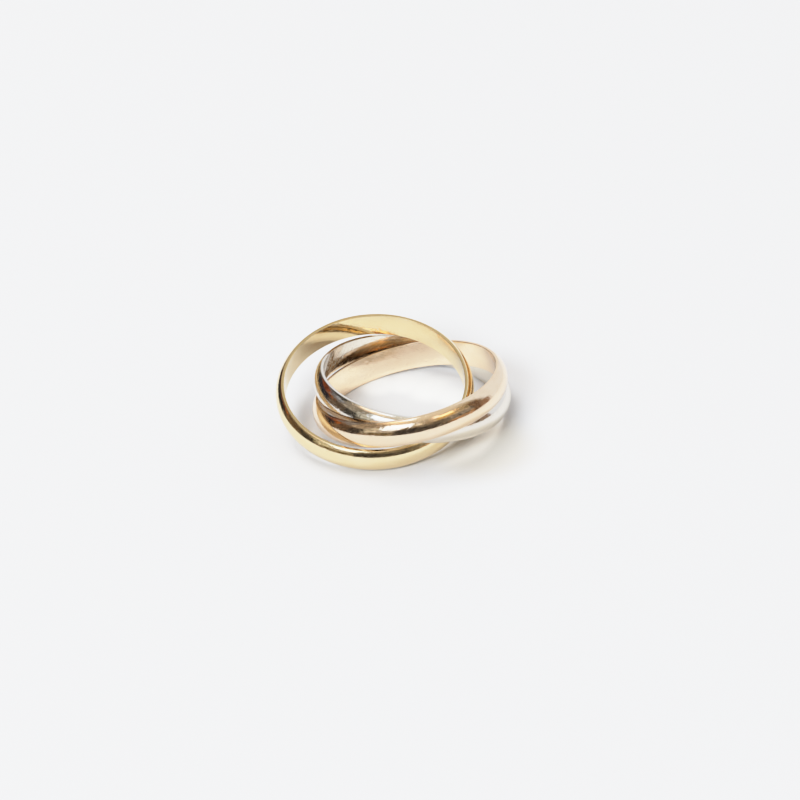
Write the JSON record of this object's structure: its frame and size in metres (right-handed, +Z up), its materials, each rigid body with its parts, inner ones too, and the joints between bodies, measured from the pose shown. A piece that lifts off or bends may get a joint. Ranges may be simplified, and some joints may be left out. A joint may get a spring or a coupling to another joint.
{
  "type": "rolling ring",
  "caption": "Finger ring of loose half round bands in yellow, white and rose gold, linked through each other and lying at rest.",
  "frame": {"origin": "on the floor that the bands rest on, at the middle of the jewel's box", "axes": "+Z up from the floor, +X along the longest side of the jewel as it lies, from the yellow band towards the white and rose bands, -Y towards the viewer of the picture"},
  "size_m": [0.0248, 0.0222, 0.0074],
  "materials": {
    "yellow_gold": "mirror polish with fine wear, pale yellow gold",
    "white_gold": "mirror polish with fine wear, warm white gold",
    "rose_gold": "mirror polish with fine wear, pale rose gold"
  },
  "bodies": {
    "white": {"white_band": "white_gold"},
    "yellow": {"yellow_band": "yellow_gold"},
    "rose": {"rose_band": "rose_gold"}
  },
  "joints": [
    {"name": "yellow_turn", "type": "hinge", "parent": "white", "child": "yellow", "pos_m": [-0.00194, 0.00018, 0.00363], "axis": [0.0239, -0.2271, 0.9736], "continuous": true},
    {"name": "rose_turn", "type": "hinge", "parent": "white", "child": "rose", "pos_m": [0.00174, -0.00075, 0.00371], "axis": [-0.149, 0.1841, 0.9715], "continuous": true}
  ]
}
